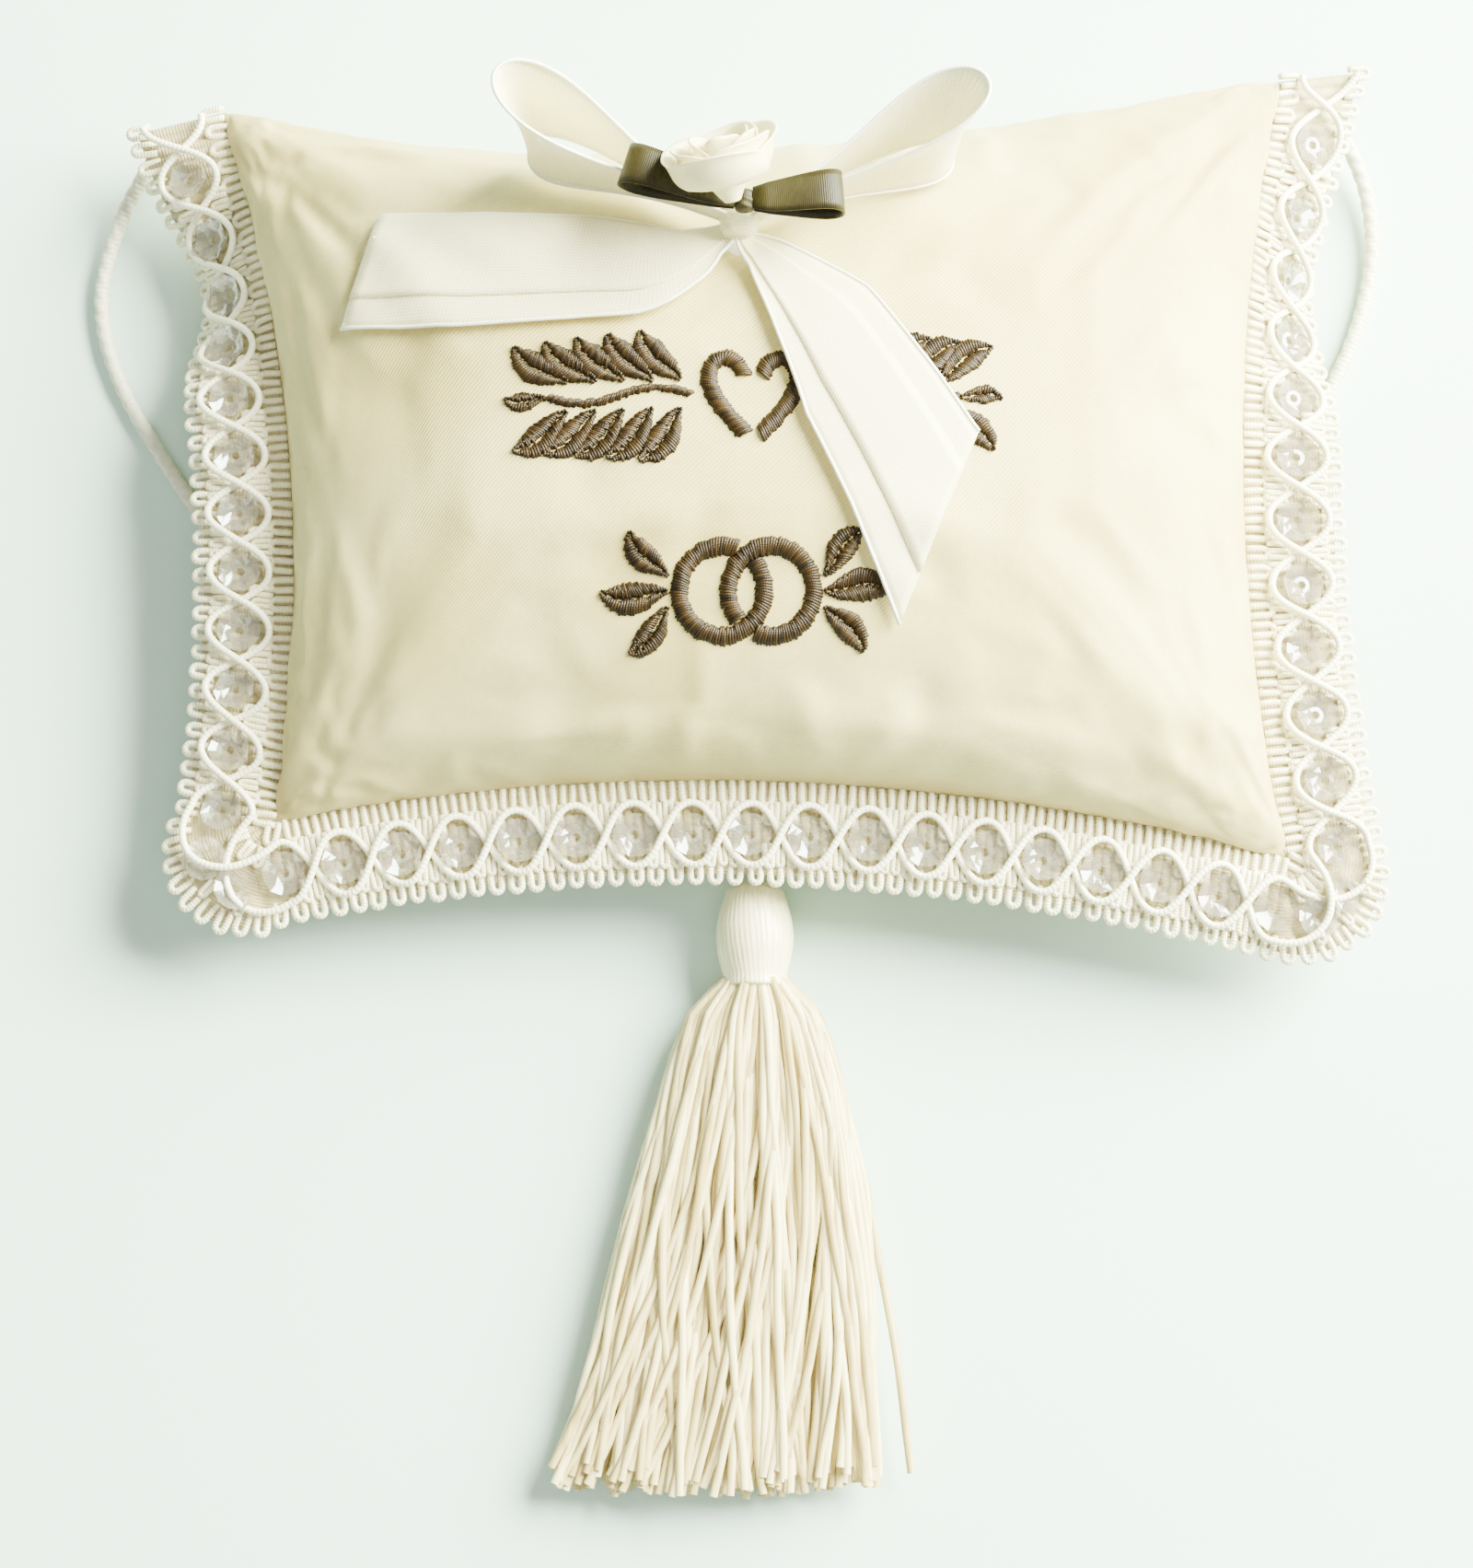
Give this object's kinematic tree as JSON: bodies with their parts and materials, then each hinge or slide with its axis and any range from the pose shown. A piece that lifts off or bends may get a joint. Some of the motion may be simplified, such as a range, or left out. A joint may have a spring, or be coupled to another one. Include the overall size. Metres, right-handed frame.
{
  "type": "ring bearer pillow",
  "caption": "Small stuffed satin pillow for carrying rings, edged with sequinned braid, with a sheer ribbon bow, a fabric rose, stitched motifs, a tassel and a hanging cord.",
  "frame": {"origin": "middle of the flat patch of the underside that the pillow lies on", "axes": "+Z out of the stitched face, +Y towards the edge it hangs from, +X towards the right edge as the face is read"},
  "size_m": [0.1981, 0.2165, 0.064],
  "materials": {
    "panel_satin": "matt-bright twill satin, woven",
    "fill_fibre": "loose polyester fibre",
    "backing_cloth": "non-woven embroidery backing",
    "brown_thread": "rayon satin stitch, soft sheen",
    "seam_thread": "spun polyester sewing thread",
    "tape_weave": "woven ground of the braid",
    "picot_gimp": "rayon-wrapped gimp",
    "scroll_cord": "bright rayon cord",
    "clear_sequin": "clear faceted cup, faint iridescence",
    "sheer_ribbon": "sheer organza with bright satin edges",
    "olive_ribbon": "double-face satin ribbon",
    "rose_ribbon": "satin ribbon, folded and rolled",
    "tassel_yarn": "untwisted bright yarn",
    "head_yarn": "satin-laid yarn",
    "twisted_cord": "twisted rayon cord"
  },
  "bodies": {
    "pillow": {"front_panel": "panel_satin", "back_panel": "panel_satin", "fibre_fill": "fill_fibre", "embroidery_backing": "backing_cloth", "embroidery_upper": "brown_thread", "embroidery_lower": "brown_thread", "top_seam_stitches": "seam_thread", "braid_tape": "tape_weave", "braid_inner_picots": "picot_gimp", "braid_outer_picots": "picot_gimp", "scroll_cord_a": "scroll_cord", "scroll_cord_b": "scroll_cord", "braid_sequins": "clear_sequin", "braid_stitches": "seam_thread", "sheer_bow_loop_left": "sheer_ribbon", "sheer_bow_loop_right": "sheer_ribbon", "sheer_bow_knot": "sheer_ribbon", "olive_bow_loop_left": "olive_ribbon", "olive_bow_loop_right": "olive_ribbon", "olive_bow_knot": "olive_ribbon", "rose_base": "rose_ribbon", "rose_petals": "rose_ribbon", "rose_centre": "rose_ribbon", "bow_tack_thread": "seam_thread", "tassel_anchor": "seam_thread", "hanger_tack_left": "seam_thread", "hanger_tack_right": "seam_thread"},
    "tassel_loop": {"tassel_loop": "twisted_cord"},
    "tassel": {"tassel_core_cord": "twisted_cord", "tassel_head_core": "tassel_yarn", "tassel_head_cover": "head_yarn", "tassel_neck_binding": "head_yarn", "tassel_skirt": "tassel_yarn"},
    "hanger": {"hanger_cord": "twisted_cord"},
    "tail_left": {"sheer_tail_left": "sheer_ribbon"},
    "tail_right": {"sheer_tail_right": "sheer_ribbon"}
  },
  "joints": [
    {"name": "tassel_swing", "type": "hinge", "parent": "pillow", "child": "tassel_loop", "pos_m": [-0.0007, -0.05649, 0.0082], "axis": [0, 0, 1], "range_deg": [-40, 40]},
    {"name": "tassel_lift", "type": "hinge", "parent": "tassel_loop", "child": "tassel", "pos_m": [-0.0007, -0.05889, 0.0082], "axis": [1, 0, 0], "range_deg": [-8, 90]},
    {"name": "hanger_swing", "type": "hinge", "parent": "pillow", "child": "hanger", "pos_m": [-0.0866, 0.057, 0.0094], "axis": [0.9995, 0.0304, 0], "range_deg": [0, 150]},
    {"name": "tail_left_lift", "type": "hinge", "parent": "pillow", "child": "tail_left", "pos_m": [-0.003, 0.0305, 0.04126], "axis": [-0.0844, 0.9964, 0], "range_deg": [0, 50]},
    {"name": "tail_right_lift", "type": "hinge", "parent": "pillow", "child": "tail_right", "pos_m": [-0.003, 0.0305, 0.04126], "axis": [-0.8475, -0.5308, 0], "range_deg": [0, 50]}
  ]
}
